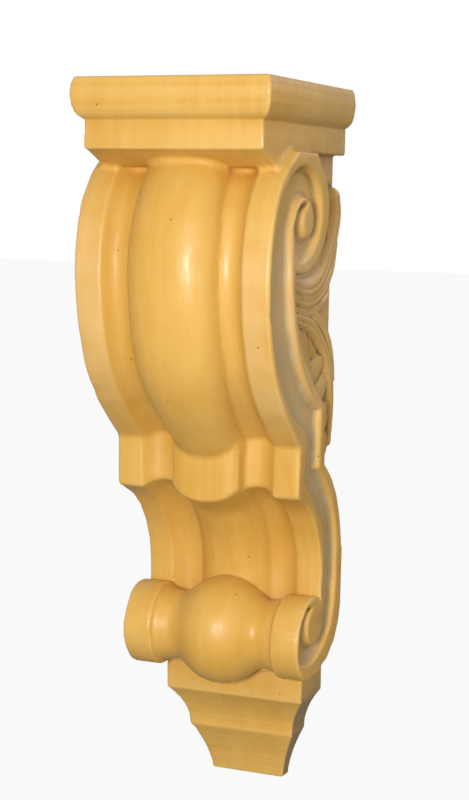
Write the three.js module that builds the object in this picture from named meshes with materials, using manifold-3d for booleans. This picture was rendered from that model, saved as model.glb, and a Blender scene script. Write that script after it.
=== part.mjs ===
// A scrolled wall corbel, cast in one piece.
// Millimetres. X runs across the corbel, the front faces -Y, the wall plane is y = 0 and +Z is up.
// The origin is the middle of the flat back.

import * as THREE from "three";
import { mergeVertices } from "three/addons/utils/BufferGeometryUtils.js";
import Module from "manifold-3d";

// Overall sizes

const HEIGHT = 330;
const SCROLL_REACH = 107.1;
const SCROLL_HALF_WIDTH = 44.2;
const SIDE_TAPER = 0.033;

// Cap: a rounded moulding over a plain fascia, with a sloping soffit under its front

const CAP_HEIGHT = 30;
const CAP_OVERHANG = 4.8;
const CAP_FASCIA_HALF_WIDTH = 40.8;
const CAP_FASCIA_REACH = 105.8;
const CAP_FASCIA_HEIGHT = 11.4;
const CAP_TOP_ROUNDING = 1.6;
const CAP_COVE_SHARE = 0.62;
const SOFFIT_RUN = 17;
const SOFFIT_DROP = 7;

// Front of the scroll: a flat band at each side, a flute inside each band, a swelling lobe in the middle

const BAND_INNER_HALF_WIDTH = 32;
const FLUTE_DEPTH = 5;
const VALLEY_DEPTH = 3.4;
const UPPER_LOBE_TOP_HALF_WIDTH = 18.8;
const UPPER_LOBE_HALF_WIDTH = 20.3;
const UPPER_LOBE_RISE = 8;
const STEP_PANEL_HALF_WIDTH = 16.8;
const STEP_PANEL_RISE = 4.2;
const COVE_LOBE_RISE = 4.6;

// Shape of each stretch's section: how full its lobe is, how far round its flank turns, and where
// its flutes are deepest, from the lobe to the band

const UPPER_SHAPE = { fullness: 2.6, lean: 0.98, deepest: 0.45 };
const STEP_SHAPE = { fullness: 6, lean: 1, deepest: 0.45 };
const COVE_SHAPE = { fullness: 2.2, lean: 0.9, deepest: 0.45 };

// Shares of the scroll's line over which the lobe widens below the cap and narrows above the step

const LOBE_OPENS = [0.05, 0.45];
const LOBE_CLOSES = [0.8, 1];

// Sides: a channel and a scroll sunk in each side face, and a deeper field that carries the leaf

const CHANNEL_DEPTH = 3.7;
const FIELD_DEPTH = 10;
const ROLL_RIM_WIDTH = 2.2;

// Roll at the foot of the scroll, with a ball in its middle

const ROLL_REACH = 40;
const ROLL_BELOW_MIDDLE = 85.3;
const ROLL_RADIUS = 19.4;
const ROLL_BAND_INNER_HALF_WIDTH = 30;
const NECK_END_RADIUS = 17.6;
const NECK_RADIUS = 15.6;
const BALL_RADIUS = 25;
const BALL_HALF_WIDTH = 23.6;

// Pendant under the roll: a plain band and two coves, each as deep all round

const PENDANT_HALF_WIDTH = 34.6;
const PENDANT_REACH = 28.2;
const PENDANT_BAND_BELOW_MIDDLE = 120.2;
const UPPER_COVE_HEIGHT = 20.2;
const UPPER_COVE_INSET_SIDE = 8.1;
const UPPER_COVE_INSET_FRONT = 10.4;
const LOWER_COVE_INSET_SIDE = 7.9;
const LOWER_COVE_INSET_FRONT = 9.8;
const UPPER_COVE_POWER = 2;
const LOWER_COVE_POWER = 1.6;

// The scroll curves are drawn at this height and reach, and follow the real ones

const DRAWN_HEIGHT = 330;
const DRAWN_REACH = 107.1;

// Leaf relief

const LEAF_RISE = 4.4;

// How finely curves are cut

const PROFILE_STEPS = 30;
const COVE_STEPS = 12;
const LOBE_COLUMNS = 8;
const FLUTE_COLUMNS = 6;
const CHANNEL_UPPER_STEPS = 60;
const CHANNEL_LOWER_STEPS = 46;
const FIELD_UPPER_STEPS = 20;
const FIELD_LOWER_STEPS = 15;
const FIELD_TAIL_STEPS = 10;
const ROLL_FACETS = 32;
const COVE_RINGS = 6;
const NECK_RINGS = 5;
const BALL_RINGS = 7;
const CAP_RINGS = 8;
const LOWER_SCROLL_STEPS = 14;
const BLADE_STEPS = 7;

// Derived levels

const TOP = HEIGHT / 2;
const BOTTOM = -HEIGHT / 2;
const CAP_UNDERSIDE = TOP - CAP_HEIGHT;
const FLOOR_HALF_WIDTH = SCROLL_HALF_WIDTH - CHANNEL_DEPTH;
const FIELD_HALF_WIDTH = SCROLL_HALF_WIDTH - FIELD_DEPTH;
const PENDANT_BAND_BOTTOM = -PENDANT_BAND_BELOW_MIDDLE;
const ROLL_Z = -ROLL_BELOW_MIDDLE;
const CLEAR = 6;
const SOFFIT_LAP = 1;

const wasm = await Module();
wasm.setup();

// A point of the side view, from how far it stands off the wall and how high it is
function side(reach, z) {
  return new THREE.Vector2(-reach * (SCROLL_REACH / DRAWN_REACH), z * (HEIGHT / DRAWN_HEIGHT));
}

// The same height, but clear behind the wall plane, where cuts start
function behindWall([, z]) {
  return new THREE.Vector2(CLEAR, side(0, z).y);
}

function smoothLine(points, steps) {
  const curve = new THREE.SplineCurve(points.map(([reach, z]) => side(reach, z)));
  return curve.getPoints(steps);
}

function solid(geometry) {
  geometry.deleteAttribute("normal");
  geometry.deleteAttribute("uv");
  const merged = mergeVertices(geometry, 1e-4);
  const vertProperties = new Float32Array(merged.attributes.position.array);
  const triVerts = new Uint32Array(merged.index.array);
  return new wasm.Manifold(new wasm.Mesh({ numProp: 3, vertProperties, triVerts }));
}

function solidOf(vertices, triangles) {
  const vertProperties = new Float32Array(vertices.flat());
  const triVerts = new Uint32Array(triangles.flat());
  return new wasm.Manifold(new wasm.Mesh({ numProp: 3, vertProperties, triVerts }));
}

// A side-view outline carried straight across, from one x to another
function prism(outline, fromX, toX) {
  const geometry = new THREE.ExtrudeGeometry(new THREE.Shape(outline), {
    depth: toX - fromX,
    bevelEnabled: false,
    steps: 1,
  });
  const sideToSpace = new THREE.Matrix4().set(0, 0, 1, fromX, 1, 0, 0, 0, 0, 1, 0, 0, 0, 0, 0, 1);
  geometry.applyMatrix4(sideToSpace);
  return solid(geometry);
}

function bothSides(shape) {
  return shape.add(shape.mirror([1, 0, 0]));
}

// Rectangles against the wall, one above the other, joined into a mitred moulding
function mitredStack(levels) {
  const vertices = [];
  const triangles = [];
  for (const { z, halfWidth, reach } of levels) {
    vertices.push([-halfWidth, 0, z], [halfWidth, 0, z], [halfWidth, -reach, z], [-halfWidth, -reach, z]);
  }
  for (let level = 0; level + 1 < levels.length; level++) {
    for (let corner = 0; corner < 4; corner++) {
      const a = level * 4 + corner;
      const b = level * 4 + ((corner + 1) % 4);
      triangles.push([a, a + 4, b + 4], [a, b + 4, b]);
    }
  }
  const last = (levels.length - 1) * 4;
  triangles.push([0, 1, 2], [0, 2, 3]);
  triangles.push([last, last + 2, last + 1], [last, last + 3, last + 2]);
  return solidOf(vertices, triangles);
}

// The three parts of the front: what each column across it does on the scroll, the step and the cove

// A flute falls gently from the lobe to its deepest line, then rises round to the edge of the band
function fluteDrop(across, valley, deepest) {
  const outward = (across - valley) / (BAND_INNER_HALF_WIDTH - valley);
  const falling = Math.min(outward / deepest, 1);
  const rising = Math.max((outward - deepest) / (1 - deepest), 0);
  const depth = VALLEY_DEPTH + (FLUTE_DEPTH - VALLEY_DEPTH) * Math.sin((Math.PI / 2) * falling);
  return -depth * (1 - rising * rising);
}

// How far the front stands out of the bands there
function frontSection(x, valley, rise, { fullness, lean, deepest }) {
  const across = Math.abs(x);
  if (across >= BAND_INNER_HALF_WIDTH) {
    return 0;
  }
  if (across > valley) {
    return fluteDrop(across, valley, deepest);
  }
  const curve = (share) => Math.pow(Math.max(0, 1 - Math.pow(lean * share, fullness)), 1 / fullness);
  const swell = (curve(across / valley) - curve(1)) / (1 - curve(1));
  return -VALLEY_DEPTH + (rise + VALLEY_DEPTH) * swell;
}

const upperSection = (x, valley) => frontSection(x, valley, UPPER_LOBE_RISE, UPPER_SHAPE);
const stepSection = (x, valley) => frontSection(x, valley, STEP_PANEL_RISE, STEP_SHAPE);
const coveSection = (x, valley) => frontSection(x, valley, COVE_LOBE_RISE, COVE_SHAPE);

// Side profile of the bands, from inside the cap down to behind the roll

const VOLUTE_LINE = [
  [60, 143], [71, 136.8], [81, 131.8], [91, 124.8], [98.4, 116], [103, 106], [106.2, 92], [106.8, 78],
  [104.2, 60], [98, 42.5], [87.5, 27.5], [76, 16.5], [63.9, 6.4],
];
const STEP_FOOT = [63.9, -16.4];
const COVE_LINE = [
  STEP_FOOT, [48.6, -23.4], [38.8, -33.2], [32.2, -44.3], [29.5, -55], [29.2, -66],
];
const BEHIND_ROLL = [29.2, -100];

function frontStations() {
  const volute = smoothLine(VOLUTE_LINE, PROFILE_STEPS);
  const cove = smoothLine(COVE_LINE, COVE_STEPS);
  const stations = [];
  volute.forEach((point, i) => {
    const down = i / (volute.length - 1);
    const opening = THREE.MathUtils.smoothstep(down, ...LOBE_OPENS);
    const closing = THREE.MathUtils.smoothstep(down, ...LOBE_CLOSES);
    const open = THREE.MathUtils.lerp(UPPER_LOBE_TOP_HALF_WIDTH, UPPER_LOBE_HALF_WIDTH, opening);
    const valley = THREE.MathUtils.lerp(open, STEP_PANEL_HALF_WIDTH, closing);
    stations.push({ point, valley, section: i + 1 < volute.length ? upperSection : stepSection });
  });
  for (const point of cove) {
    stations.push({ point, valley: STEP_PANEL_HALF_WIDTH, section: coveSection });
  }
  stations.push({ point: side(...BEHIND_ROLL), valley: STEP_PANEL_HALF_WIDTH, section: coveSection });
  return stations;
}

// Columns across the front for a given valley, from the left edge to the right one
function frontColumns(valley) {
  const half = [];
  for (let i = 0; i < LOBE_COLUMNS; i++) {
    half.push(valley * Math.sin((Math.PI / 2) * (i / LOBE_COLUMNS)));
  }
  for (let i = 0; i < FLUTE_COLUMNS; i++) {
    half.push(valley + (BAND_INNER_HALF_WIDTH - valley) * (i / FLUTE_COLUMNS));
  }
  half.push(BAND_INNER_HALF_WIDTH, SCROLL_HALF_WIDTH);
  const left = half.slice(1).reverse().map((x) => -x);
  return [...left, ...half];
}

// Where two runs of the profile meet when each is carried out along its own normal
function carried(point, before, after, outBefore, outAfter) {
  const turn = before.x * after.y - before.y * after.x;
  if (Math.abs(turn) < 0.2) {
    const normal = before.clone().add(after).normalize();
    const out = (outBefore + outAfter) / 2;
    return point.clone().addScaledVector(normal, out);
  }
  const moveY = (outBefore * after.y - outAfter * before.y) / turn;
  const moveZ = (outAfter * before.x - outBefore * after.x) / turn;
  return new THREE.Vector2(point.x + moveY, point.y + moveZ);
}

function scrollBlock() {
  const stations = frontStations();
  const normals = stations.slice(1).map((station, i) => {
    const run = station.point.clone().sub(stations[i].point).normalize();
    return new THREE.Vector2(run.y, -run.x);
  });
  const vertices = [];
  const triangles = [];
  const width = frontColumns(UPPER_LOBE_HALF_WIDTH).length;
  stations.forEach(({ point, valley, section }, i) => {
    const before = normals[Math.max(0, i - 1)];
    const after = normals[Math.min(normals.length - 1, i)];
    const sectionBefore = stations[Math.max(0, i - 1)].section;
    for (const x of frontColumns(valley)) {
      const place = carried(point, before, after, sectionBefore(x, valley), section(x, valley));
      vertices.push([x, place.x, place.y]);
    }
    for (const x of [-SCROLL_HALF_WIDTH, 0, SCROLL_HALF_WIDTH]) {
      vertices.push([x, 0, point.y]);
    }
  });
  const row = width + 3;
  for (let i = 0; i + 1 < stations.length; i++) {
    for (let j = 0; j < row; j++) {
      const order = j < width ? j : 2 * width + 2 - j;
      const next = (j + 1) % row;
      const nextOrder = next < width ? next : 2 * width + 2 - next;
      const a = i * row + order;
      const b = i * row + nextOrder;
      triangles.push([a, a + row, b + row], [a, b + row, b]);
    }
  }
  const bottom = (stations.length - 1) * row;
  const middle = width + 1;
  const around = [];
  for (let j = 0; j < row; j++) {
    around.push(j < width ? j : 2 * width + 2 - j);
  }
  around.forEach((from, j) => {
    const to = around[(j + 1) % row];
    if (from !== middle && to !== middle) {
      triangles.push([middle, from, to], [bottom + middle, bottom + to, bottom + from]);
    }
  });
  return solidOf(vertices, triangles);
}

// Side carving

// Front edge of the channel: from the upper eye round the scroll, down the band and in to the lower eye
const CHANNEL_FRONT_UPPER = [
  [62, 112.6], [67.5, 112], [73, 108.6], [76, 103], [75.8, 97], [73.4, 92.4], [69.5, 89.4], [63, 89.6],
  [55, 92.4], [48.2, 97.3], [44.6, 104], [44.2, 111], [46.4, 118], [52, 124.2], [60, 127.8], [69, 128.4],
  [78.5, 125.8], [88, 119.6], [95.8, 110.6], [100.9, 99.5], [103.3, 87], [103.2, 74], [100.3, 60], [94.6, 47],
  [86.6, 34.8], [76.5, 24], [65, 17], [54, 12],
];
const CHANNEL_FRONT_LOWER = [
  [56.4, -9.4], [45.5, -16.6], [36, -26], [29, -36], [25.8, -46], [26.2, -57], [27.4, -66], [25.4, -73],
  [25, -80], [27.8, -86], [34, -88.8], [41, -88], [45.8, -83.6], [46.4, -77.8], [44.4, -73], [40.6, -70.8],
];
// Rear edge of the channel: from the upper eye round the scroll, down the ribbon and under the roll
const CHANNEL_REAR_UPPER = [
  [62, 112.6], [66.3, 108.6], [67, 103.6], [63.4, 98.6], [57.6, 98], [53.2, 101.8], [52.6, 107.4],
  [55.8, 112.8], [61.5, 115.8], [68.5, 115.8], [75, 112.4], [79.2, 106], [80.6, 98], [80.2, 88], [79.2, 76],
  [76, 62.5], [70.2, 50], [61.5, 38], [50.5, 28], [37, 20.5],
];
const CHANNEL_REAR_LOWER = [
  [37.2, -6.2], [28.5, -13], [19.8, -21.8], [13.2, -31.8], [9.4, -42.5], [8.4, -54], [8.8, -66.5],
  [10.6, -76], [14.5, -84], [21.5, -90.5], [31, -94.8], [41, -96.4], [49.5, -95],
];
// Rear edge of the scroll and the ribbon, in front of the leaf field
const FIELD_EDGE_UPPER = [
  [52, 138], [45, 131.2], [38.2, 125.4], [34, 118], [32.5, 109.5], [34.2, 101.4], [39.4, 92.8], [47.4, 86],
  [57.5, 82.6], [66, 82.2], [73.6, 83.2],
];
const FIELD_EDGE_LOWER = [
  [73.6, 83.2], [73.2, 71.5], [68.6, 59.4], [61.2, 48.6], [51.6, 38.6], [41, 30], [31, 23],
];
const FIELD_EDGE_TAIL = [
  [31, -3], [21.5, -9.8], [13, -17.6], [6.6, -27], [2.4, -37.5], [0, -48],
];

// From under the roll the channel turns up inside its rim, and ends over the lower eye
const RIM_ANGLES = [-24, 0, 24, 48, 70];

function insideRim(degrees) {
  const angle = THREE.MathUtils.degToRad(degrees);
  const radius = ROLL_RADIUS - ROLL_RIM_WIDTH;
  const middle = side(ROLL_REACH, ROLL_Z);
  return new THREE.Vector2(middle.x - radius * Math.cos(angle), middle.y + radius * Math.sin(angle));
}

function channelOutline() {
  const lowerEye = CHANNEL_FRONT_LOWER.at(-1);
  const rearLower = CHANNEL_REAR_LOWER.map(([reach, z]) => side(reach, z));
  const rimTurn = [...rearLower, ...RIM_ANGLES.map(insideRim), side(...lowerEye)];
  const front = [
    ...smoothLine(CHANNEL_FRONT_UPPER, CHANNEL_UPPER_STEPS),
    ...smoothLine(CHANNEL_FRONT_LOWER, CHANNEL_LOWER_STEPS),
  ];
  const rear = [
    ...smoothLine(CHANNEL_REAR_UPPER, CHANNEL_UPPER_STEPS),
    ...new THREE.SplineCurve(rimTurn).getPoints(CHANNEL_LOWER_STEPS),
  ];
  return [...front, ...rear.slice(1, -1).reverse()];
}

function fieldOutline() {
  return [
    ...smoothLine(FIELD_EDGE_UPPER, FIELD_UPPER_STEPS),
    ...smoothLine(FIELD_EDGE_LOWER, FIELD_LOWER_STEPS).slice(1),
    ...smoothLine(FIELD_EDGE_TAIL, FIELD_TAIL_STEPS),
    behindWall(FIELD_EDGE_TAIL.at(-1)),
    behindWall(FIELD_EDGE_UPPER[0]),
  ];
}

function sidePockets() {
  const outside = SCROLL_HALF_WIDTH + CLEAR;
  const channel = prism(channelOutline(), FLOOR_HALF_WIDTH, outside);
  const field = prism(fieldOutline(), FIELD_HALF_WIDTH, outside);
  return bothSides(channel.add(field));
}

// The underside of the lower scroll, from the wall to the foot of the roll, and what lies behind the flutes

const LOWER_SCROLL_LINE = [[0, -77], [2.4, -85], [7.4, -92.4], [15.4, -98.6], [25, -102.9], [36, -104.6]];
const LOWER_SCROLL_CORE = [[22, -78], [22, -44], [0, -44]];
const UNDER_SCROLL_Z = -115;

function lowerScroll() {
  const line = smoothLine(LOWER_SCROLL_LINE, LOWER_SCROLL_STEPS);
  const behindFlutes = LOWER_SCROLL_CORE.map(([reach, z]) => side(reach, z));
  const outline = [...line, side(ROLL_REACH, ROLL_Z), ...behindFlutes];
  return prism(outline, -SCROLL_HALF_WIDTH, SCROLL_HALF_WIDTH);
}

function underScroll() {
  const line = smoothLine(LOWER_SCROLL_LINE, LOWER_SCROLL_STEPS);
  const [lastReach] = LOWER_SCROLL_LINE.at(-1);
  const outline = [
    behindWall(LOWER_SCROLL_LINE[0]),
    ...line,
    side(lastReach, UNDER_SCROLL_Z),
    behindWall([0, UNDER_SCROLL_Z]),
  ];
  return prism(outline, -SCROLL_HALF_WIDTH - CLEAR, SCROLL_HALF_WIDTH + CLEAR);
}

// Roll, turned about a line across the corbel

function rollOutline() {
  const line = [new THREE.Vector2(0, -SCROLL_HALF_WIDTH), new THREE.Vector2(ROLL_RADIUS, -SCROLL_HALF_WIDTH)];
  line.push(new THREE.Vector2(ROLL_RADIUS, -ROLL_BAND_INNER_HALF_WIDTH));
  line.push(new THREE.Vector2(NECK_END_RADIUS, -ROLL_BAND_INNER_HALF_WIDTH));
  const ballEdge = BALL_HALF_WIDTH * Math.sqrt(1 - (NECK_RADIUS / BALL_RADIUS) ** 2);
  const neckSpan = ROLL_BAND_INNER_HALF_WIDTH - ballEdge;
  for (let i = 1; i < NECK_RINGS; i++) {
    const inward = i / NECK_RINGS;
    const radius = THREE.MathUtils.lerp(NECK_END_RADIUS, NECK_RADIUS, Math.sin((Math.PI / 2) * inward));
    line.push(new THREE.Vector2(radius, -ROLL_BAND_INNER_HALF_WIDTH + neckSpan * inward));
  }
  const edge = Math.acos(Math.sqrt(1 - (NECK_RADIUS / BALL_RADIUS) ** 2));
  for (let i = 0; i <= BALL_RINGS; i++) {
    const angle = edge + (Math.PI / 2 - edge) * (i / BALL_RINGS);
    line.push(new THREE.Vector2(BALL_RADIUS * Math.sin(angle), -BALL_HALF_WIDTH * Math.cos(angle)));
  }
  const other = line.slice(0, -1).reverse().map((p) => new THREE.Vector2(p.x, -p.y));
  return [...line, ...other];
}

function roll() {
  const geometry = new THREE.LatheGeometry(rollOutline(), ROLL_FACETS);
  geometry.rotateZ(-Math.PI / 2);
  const axis = side(ROLL_REACH, ROLL_Z);
  geometry.translate(0, axis.x, axis.y);
  return solid(geometry);
}

// Cap

function cap() {
  const fasciaTop = CAP_UNDERSIDE + CAP_FASCIA_HEIGHT;
  const mouldingHeight = TOP - fasciaTop;
  const levels = [
    { z: CAP_UNDERSIDE, out: 0 },
    { z: fasciaTop, out: 0 },
  ];
  for (let i = 1; i <= CAP_RINGS; i++) {
    const angle = (Math.PI / 2) * (i / CAP_RINGS);
    const z = fasciaTop + mouldingHeight * CAP_COVE_SHARE * (1 - Math.cos(angle));
    levels.push({ z, out: CAP_OVERHANG * Math.sin(angle) });
  }
  levels.push({ z: TOP - CAP_TOP_ROUNDING, out: CAP_OVERHANG });
  levels.push({ z: TOP, out: CAP_OVERHANG - CAP_TOP_ROUNDING });
  return mitredStack(levels.map(({ z, out }) => ({
    z,
    halfWidth: CAP_FASCIA_HALF_WIDTH + out,
    reach: CAP_FASCIA_REACH + out,
  })));
}

function soffit() {
  const front = -CAP_FASCIA_REACH;
  const inside = front / 2;
  const outline = [
    new THREE.Vector2(front, CAP_UNDERSIDE + SOFFIT_LAP),
    new THREE.Vector2(front, CAP_UNDERSIDE),
    new THREE.Vector2(front + SOFFIT_RUN, CAP_UNDERSIDE - SOFFIT_DROP),
    new THREE.Vector2(inside, CAP_UNDERSIDE - SOFFIT_DROP),
    new THREE.Vector2(inside, CAP_UNDERSIDE + SOFFIT_LAP),
  ];
  return prism(outline, -CAP_FASCIA_HALF_WIDTH, CAP_FASCIA_HALF_WIDTH);
}

// Pendant

function coveRings(top, bottom, from, to, power) {
  const rings = [];
  for (let i = 1; i <= COVE_RINGS; i++) {
    const down = i / COVE_RINGS;
    const inset = 1 - Math.pow(1 - down, power);
    rings.push({
      z: THREE.MathUtils.lerp(top, bottom, down),
      halfWidth: THREE.MathUtils.lerp(from.halfWidth, to.halfWidth, inset),
      reach: THREE.MathUtils.lerp(from.reach, to.reach, inset),
    });
  }
  return rings;
}

function pendant() {
  const band = { halfWidth: PENDANT_HALF_WIDTH, reach: PENDANT_REACH };
  const waist = {
    halfWidth: band.halfWidth - UPPER_COVE_INSET_SIDE,
    reach: band.reach - UPPER_COVE_INSET_FRONT,
  };
  const foot = {
    halfWidth: waist.halfWidth - LOWER_COVE_INSET_SIDE,
    reach: waist.reach - LOWER_COVE_INSET_FRONT,
  };
  const waistZ = PENDANT_BAND_BOTTOM - UPPER_COVE_HEIGHT;
  const levels = [
    { z: ROLL_Z, ...band },
    { z: PENDANT_BAND_BOTTOM, ...band },
    ...coveRings(PENDANT_BAND_BOTTOM, waistZ, band, waist, UPPER_COVE_POWER),
    ...coveRings(waistZ, BOTTOM, waist, foot, LOWER_COVE_POWER),
  ];
  return mitredStack(levels.reverse());
}

// Leaf on each side field, made of blades that taper from a spine

const BLADES = [
  { spine: [[56, 78.5], [42, 75], [28, 77.5], [17, 86], [8, 98], [4, 109], [6.5, 118.5]], half: 5.6, rise: 1 },
  { spine: [[54, 72.5], [42, 69.6], [28, 70.8], [16, 76.4], [7.4, 85], [4, 94]], half: 4.6, rise: 0.85 },
  { spine: [[54, 67.6], [42, 65.2], [30, 65.6], [19, 68.4], [10, 73.5]], half: 3.4, rise: 0.6 },
  { spine: [[52, 65], [38, 60.6], [24, 52.6], [13, 42], [7, 29], [5, 15], [6, 0.5]], half: 5.4, rise: 1 },
  { spine: [[32, 64.5], [20, 57.5], [9, 47], [3.4, 34]], half: 4.2, rise: 0.85 },
  { spine: [[56, 63], [49, 55], [41, 46.6], [32, 38]], half: 9.6, rise: 0.75 },
  { spine: [[36, 58], [30, 49], [24, 41]], half: 6.4, rise: 0.7 },
  { spine: [[14, 46], [23, 38.4], [36, 33]], half: 6, rise: 0.8 },
  { spine: [[9, 33], [15, 27], [26, 23.4]], half: 5.2, rise: 0.75 },
];

// A blade's section, from edge to edge: a fold along each side of a sunk midline
const BLADE_SECTION = [
  { across: -1, crown: 0.1 },
  { across: -0.55, crown: 0.8 },
  { across: 0, crown: 0.66 },
  { across: 0.55, crown: 0.8 },
  { across: 1, crown: 0.1 },
];
// Where along a half wave a blade starts and ends, how blunt it is, and how low it may get at its ends
const BLADE_WAVE = [0.12, 0.96];
const BLADE_BLUNTNESS = 0.7;
const BLADE_LOWEST = 0.35;
const BLADE_ROOT_DEPTH = 1;

function blade({ spine, half, rise }) {
  const line = smoothLine(spine, BLADE_STEPS);
  const height = LEAF_RISE * rise;
  const columns = BLADE_SECTION.length;
  const vertices = [];
  const triangles = [];
  const row = columns * 2;
  line.forEach((point, i) => {
    const along = i / (line.length - 1);
    const from = line[Math.max(0, i - 1)];
    const to = line[Math.min(line.length - 1, i + 1)];
    const run = to.clone().sub(from).normalize();
    const wave = THREE.MathUtils.lerp(...BLADE_WAVE, along);
    const fullness = Math.pow(Math.sin(Math.PI * wave), BLADE_BLUNTNESS);
    for (let k = 0; k < row; k++) {
      const low = k >= columns;
      const { across, crown } = BLADE_SECTION[low ? row - 1 - k : k];
      const shift = across * half * fullness;
      const stand = low ? -BLADE_ROOT_DEPTH : height * crown * Math.max(BLADE_LOWEST, fullness);
      const x = FIELD_HALF_WIDTH + stand;
      vertices.push([x, Math.min(point.x - run.y * shift, 0), point.y + run.x * shift]);
    }
  });
  for (let i = 0; i + 1 < line.length; i++) {
    for (let k = 0; k < row; k++) {
      const a = i * row + k;
      const b = i * row + ((k + 1) % row);
      triangles.push([a, b + row, b], [a, a + row, b + row]);
    }
  }
  const end = (line.length - 1) * row;
  for (let k = 1; k + 1 < row; k++) {
    triangles.push([0, k, k + 1], [end, end + k + 1, end + k]);
  }
  return solidOf(vertices, triangles);
}

function leaves() {
  const oneSide = BLADES.map(blade).reduce((all, next) => all.add(next));
  return bothSides(oneSide);
}

// The scroll narrows a little from its top to its foot
function tapered(shape) {
  return shape.warp((point) => {
    point[0] *= 1 + SIDE_TAPER * (point[2] / TOP);
  });
}

// The scroll stands wider than the fascia, so its sides stop under the cap
function besideCap() {
  const above = CAP_UNDERSIDE + CAP_HEIGHT;
  const outline = [
    new THREE.Vector2(-SCROLL_REACH - CLEAR, CAP_UNDERSIDE),
    new THREE.Vector2(CLEAR, CAP_UNDERSIDE),
    new THREE.Vector2(CLEAR, above),
    new THREE.Vector2(-SCROLL_REACH - CLEAR, above),
  ];
  return bothSides(prism(outline, CAP_FASCIA_HALF_WIDTH - CLEAR, SCROLL_HALF_WIDTH + CLEAR));
}

function corbel() {
  const body = scrollBlock().subtract(underScroll()).add(lowerScroll()).add(roll());
  const scroll = body.subtract(sidePockets()).add(leaves());
  return tapered(scroll)
    .subtract(besideCap())
    .add(cap())
    .add(soffit())
    .add(pendant());
}

function meshOf(shape, name, material) {
  const { numProp, vertProperties, triVerts } = shape.getMesh();
  const positions = [];
  for (let i = 0; i < vertProperties.length; i += numProp) {
    positions.push(vertProperties[i], vertProperties[i + 1], vertProperties[i + 2]);
  }
  const geometry = new THREE.BufferGeometry();
  geometry.setAttribute("position", new THREE.Float32BufferAttribute(positions, 3));
  geometry.setIndex([...triVerts]);
  geometry.computeVertexNormals();
  const mesh = new THREE.Mesh(geometry, material);
  mesh.name = name;
  return mesh;
}

const castResin = new THREE.MeshStandardMaterial({ color: 0xd9a441, roughness: 0.45, metalness: 0 });

const group = new THREE.Group();
group.add(meshOf(corbel(), "corbel", castResin));

export default group;
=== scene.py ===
# A scrolled wall corbel in yellow cast resin, shown from its front and right side.
# One fine casting stands for the solid. Its form is a distance field, built in millimetres from the same
# sizes and side curves as the solid, with every edge and hollow rounded as a moulded casting has them.

from math import cos, pi, radians, sin, sqrt

import bpy
import numpy as np
import openvdb
from mathutils import Matrix, Vector


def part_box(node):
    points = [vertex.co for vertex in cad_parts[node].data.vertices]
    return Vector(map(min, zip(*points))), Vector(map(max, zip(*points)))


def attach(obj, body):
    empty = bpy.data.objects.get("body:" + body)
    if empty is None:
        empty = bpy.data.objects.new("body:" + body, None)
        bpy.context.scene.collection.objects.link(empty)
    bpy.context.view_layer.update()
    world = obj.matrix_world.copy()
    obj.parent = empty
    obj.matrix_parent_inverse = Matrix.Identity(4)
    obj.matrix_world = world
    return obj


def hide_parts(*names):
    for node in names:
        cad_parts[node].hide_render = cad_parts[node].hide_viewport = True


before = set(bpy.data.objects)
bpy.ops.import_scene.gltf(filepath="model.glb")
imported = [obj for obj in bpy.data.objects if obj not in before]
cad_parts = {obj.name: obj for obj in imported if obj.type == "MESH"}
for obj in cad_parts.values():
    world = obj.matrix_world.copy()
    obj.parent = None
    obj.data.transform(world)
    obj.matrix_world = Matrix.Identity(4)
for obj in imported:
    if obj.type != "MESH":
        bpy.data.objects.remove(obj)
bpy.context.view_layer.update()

MM = 0.001

# Overall sizes, from the solid

low_corner, high_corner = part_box("corbel")
TOP = high_corner.z / MM
BOTTOM = low_corner.z / MM
CAP_HALF_WIDTH = high_corner.x / MM
FRONT = -low_corner.y / MM

# Scroll

SCROLL_HALF_WIDTH = 44.2
SIDE_TAPER = 0.033
BAND_INNER_HALF_WIDTH = 32.0
FLUTE_DEPTH = 5.0
VALLEY_DEPTH = 3.4
UPPER_LOBE_TOP_HALF_WIDTH = 18.8
UPPER_LOBE_HALF_WIDTH = 20.3
UPPER_LOBE_RISE = 7.9
LOBE_OPENS_FROM, LOBE_OPENS_TO = 126.0, 92.0
LOBE_CLOSES_FROM, LOBE_CLOSES_TO = 46.0, 4.0
STEP_PANEL_HALF_WIDTH = 16.8
STEP_PANEL_RISE = 4.2
COVE_LOBE_RISE = 4.6
STEP_REACH = 63.9

# Each stretch's section: how full its lobe is, how far round its flank turns, where its flutes are deepest
# and how widely the crease between the two is rounded. Past its width a section runs out at the slope.

UPPER_SHAPE = (2.6, 0.98, 0.45, 3.6)
STEP_SHAPE = (4.0, 1.0, 0.45, 5.0)
COVE_SHAPE = (2.2, 0.9, 0.45, 5.0)
RUN_OUT_SLOPE = 1.5

# Cap

CAP_UNDERSIDE = TOP - 30.0
FASCIA_HALF_WIDTH = 40.8
FASCIA_REACH = 105.8
CAP_OVERHANG = CAP_HALF_WIDTH - FASCIA_HALF_WIDTH
SOFFIT_RUN = 17.0
SOFFIT_DROP = 7.0
SOFFIT_BACK = 50.0
SOFFIT_JOIN = 0.3
LET_INTO_CAP = 6.0

# Side carving

CHANNEL_DEPTH = 3.7
FIELD_DEPTH = 10.0
ROLL_RIM_WIDTH = 2.2

# Roll, neck and ball

ROLL_REACH = 40.0
ROLL_Z = -85.3
ROLL_RADIUS = 19.4
ROLL_BAND_INNER_HALF_WIDTH = 30.0
NECK_END_RADIUS = 17.6
NECK_RADIUS = 15.6
BALL_RADIUS = 25.0
BALL_HALF_WIDTH = 23.6
ROLL_JOIN = 0.4

# Pendant

PENDANT_HALF_WIDTH = 34.6
PENDANT_REACH = 28.2
PENDANT_BAND_BOTTOM = -120.2
WAIST_Z = -140.4
UPPER_COVE_INSET = (8.1, 10.4)
LOWER_COVE_INSET = (7.9, 9.8)
UPPER_COVE_POWER = 2.0
LOWER_COVE_POWER = 1.6

# Roundings of the casting

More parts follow.
